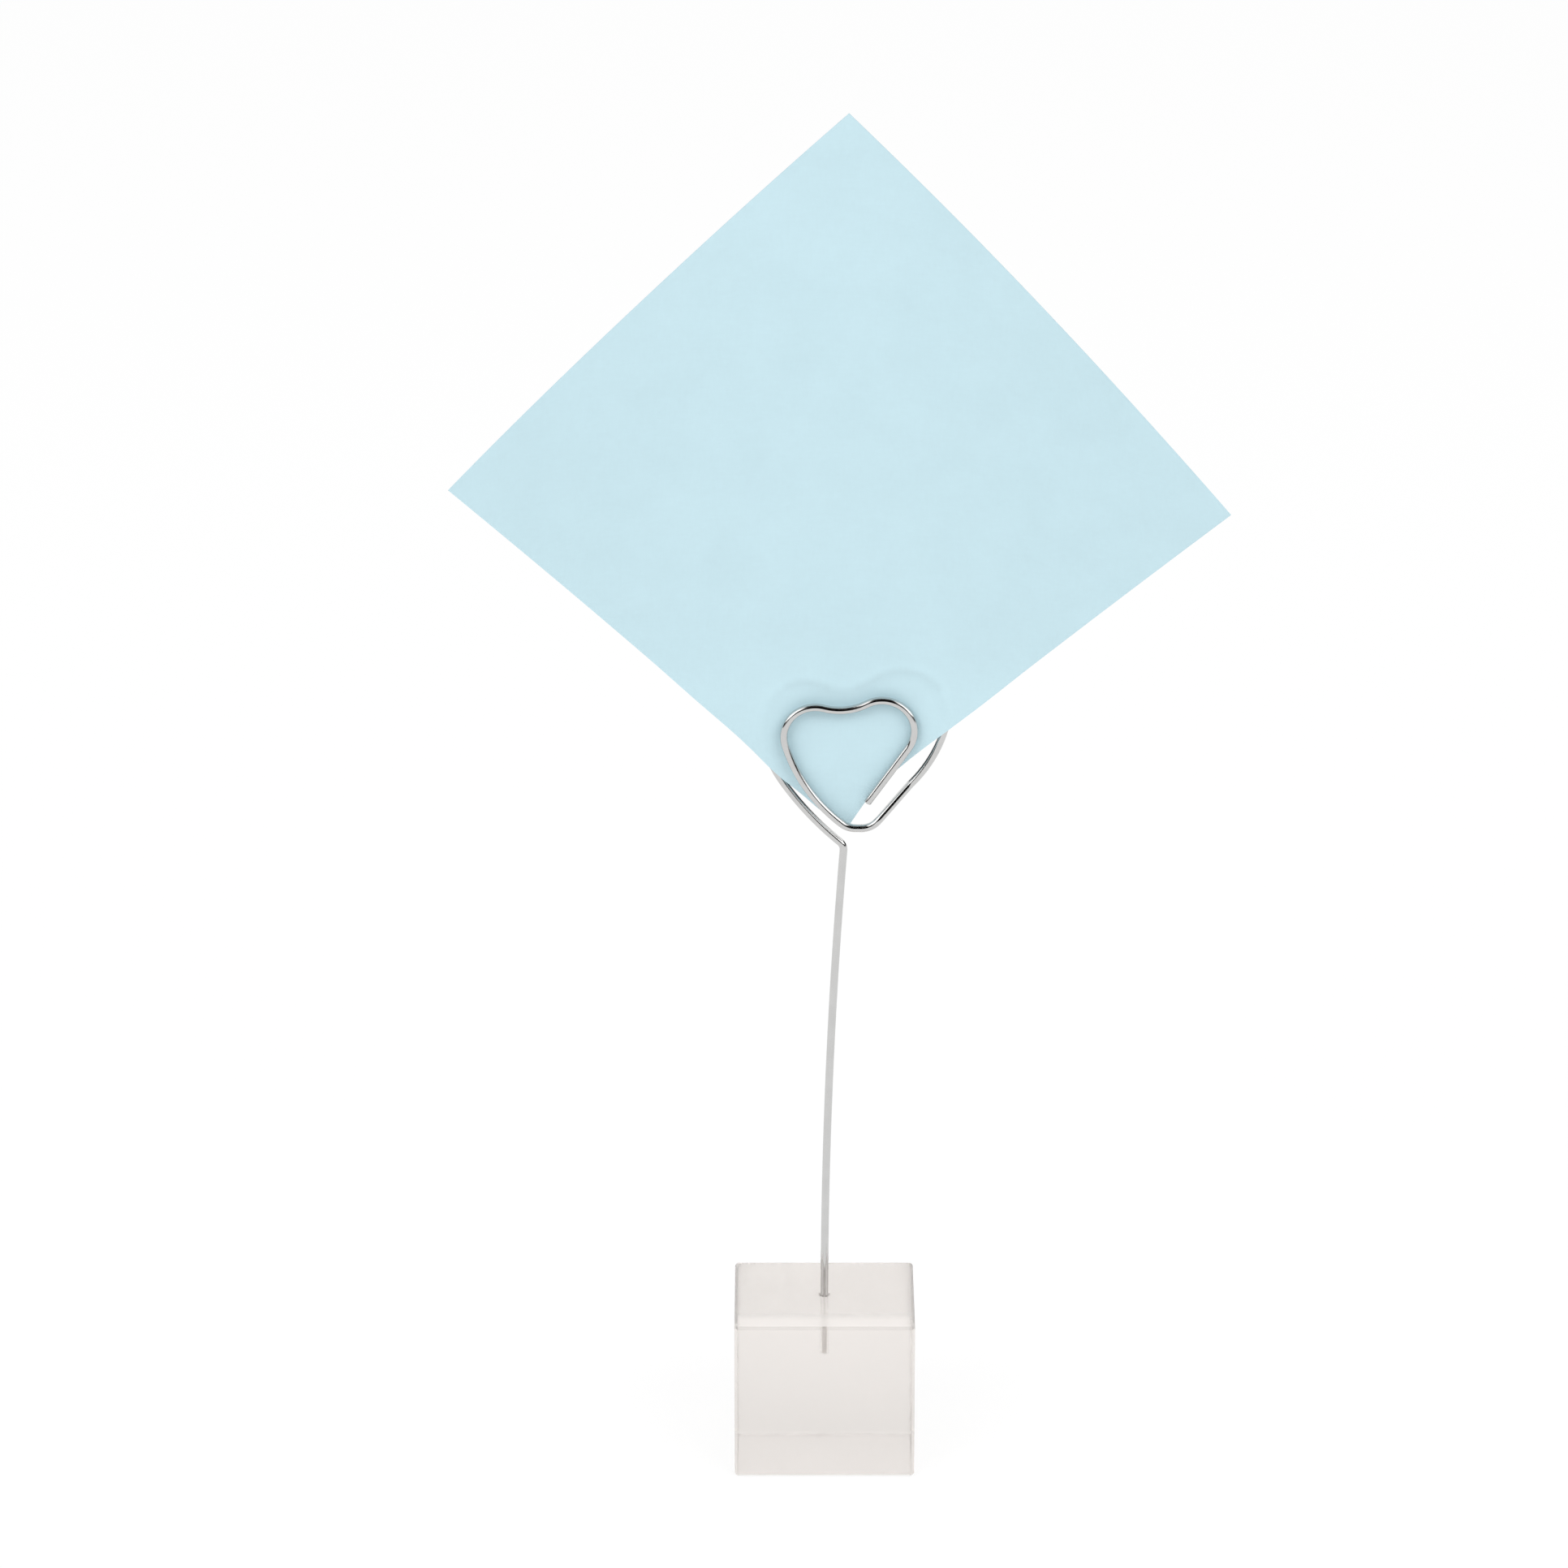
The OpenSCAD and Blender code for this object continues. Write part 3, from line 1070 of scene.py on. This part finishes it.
def soft_lamp(name, side, power, aim):
    """A large lamp on the left for side -1 or the right for 1, which the wire and block don't show."""
    lamp = bpy.data.lights.new(name, "AREA")
    lamp.shape = "RECTANGLE"
    lamp.size, lamp.size_y = LAMP_SIZE
    lamp.energy = power
    panel = bpy.data.objects.new(name, lamp)
    x, y, z = LAMP_PLACE
    panel.location = side * x, y, z
    panel.rotation_euler = (panel.location - Vector(aim)).to_track_quat("Z", "Y").to_euler()
    panel.visible_transmission = panel.visible_glossy = False
    return panel


class MEMO_OT_stage(Operator):
    """Set up the camera, the soft light and the pale floor"""

    bl_idname = "memo_holder.stage"
    bl_label = "Stage"

    def execute(self, context):
        scene = context.scene
        stage = scene.memo_stage
        scene.view_settings.view_transform = "Standard"
        camera = photo_camera(stage)
        scene.collection.objects.link(camera)
        scene.camera = camera
        scene.world = studio_world(stage)
        stage_plane(*FLOOR, pale_floor())
        dark, bright = plain_light("dark_card", 0), plain_light("bright_card", stage.card)
        for material, cards in ((dark, DARK_CARDS), (bright, BRIGHT_CARDS)):
            for card in cards:
                reflected_card(*card, material)
        for name, side, power in (("softbox", -1, stage.softbox), ("fill", 1, stage.fill)):
            scene.collection.objects.link(soft_lamp(name, side, power, stage.aim))
        return {"FINISHED"}


class MEMO_OT_block(Operator):
    """Give the block its clear acrylic"""

    bl_idname = "memo_holder.block"
    bl_label = "Clear block"

    def execute(self, context):
        material = clear_acrylic(context.scene.memo_block)
        for slot in frame["nodes"]["base_block"].material_slots:
            slot.material = material
        return {"FINISHED"}


class MEMO_OT_wire(Operator):
    """Bend the stem, the outer heart and the inner heart of the wire"""

    bl_idname = "memo_holder.wire"
    bl_label = "Heart wire"

    def execute(self, context):
        wire = context.scene.memo_wire
        plating = bright_plating(wire)
        radius = wire.thickness / 2
        (outer, outer_reach), inner = heart_paths(wire, wire.end_rounding)
        outer_radii = np.full(len(outer), radius)
        stem = round_wire("stem_and_outer_heart", outer, outer_reach, outer_radii, plating)
        tongue = round_wire("inner_heart", *rounded_end(*inner, radius, wire.end_rounding), plating)
        for piece, node, body in ((stem, "stem_wire", "clip"), (tongue, "clip_tongue", "tongue")):
            set_in_clip(piece, wire)
            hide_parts(node)
            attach(piece, body)
        return {"FINISHED"}


class MEMO_OT_sheet(Operator):
    """Curl the memo sheet into the clip"""

    bl_idname = "memo_holder.sheet"
    bl_label = "Memo sheet"

    def execute(self, context):
        sheet, wire = context.scene.memo_sheet, context.scene.memo_wire
        front, back, flat, behind = curled_sheet(sheet, wire)
        piece = slab("blank_memo_sheet", front, back, flat, memo_paper(sheet))
        # The painted shadow of the outer heart's top, on the front and the back points alike
        shadow = piece.data.attributes.new("painted_wire_shadow", "FLOAT", "POINT")
        shadow.data.foreach_set("value", np.tile(behind.ravel(), 2).astype(np.float32))
        set_in_clip(piece, wire)
        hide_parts("memo_sheet")
        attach(piece, "sheet")
        return {"FINISHED"}


# Settings by their name on the scene, and in the same order the operators that they are for
SETTINGS = {
    "memo_stage": StageSettings,
    "memo_block": BlockSettings,
    "memo_wire": WireSettings,
    "memo_sheet": SheetSettings,
}
OPERATORS = (MEMO_OT_stage, MEMO_OT_block, MEMO_OT_wire, MEMO_OT_sheet)


class MEMO_PT_panel(Panel):
    """Settings and pieces of the memo clip holder"""

    bl_idname = "MEMO_PT_panel"
    bl_label = "Memo holder"
    bl_space_type = "VIEW_3D"
    bl_region_type = "UI"
    bl_category = "Memo holder"

    def draw(self, context):
        for name, operator in zip(SETTINGS, OPERATORS):
            box = self.layout.box()
            for key in SETTINGS[name].__annotations__:
                box.prop(getattr(context.scene, name), key)
            box.operator(operator.bl_idname)


CLASSES = (*SETTINGS.values(), *OPERATORS, MEMO_PT_panel)


def register():
    for cls in CLASSES:
        bpy.utils.register_class(cls)
    for name, settings in SETTINGS.items():
        setattr(bpy.types.Scene, name, PointerProperty(type=settings))


def unregister():
    for name in SETTINGS:
        delattr(bpy.types.Scene, name)
    for cls in reversed(CLASSES):
        bpy.utils.unregister_class(cls)


def main():
    register()
    bpy.ops.memo_holder.stage()
    bpy.ops.memo_holder.block()
    bpy.ops.memo_holder.wire()
    bpy.ops.memo_holder.sheet()


if __name__ == "__main__":
    main()
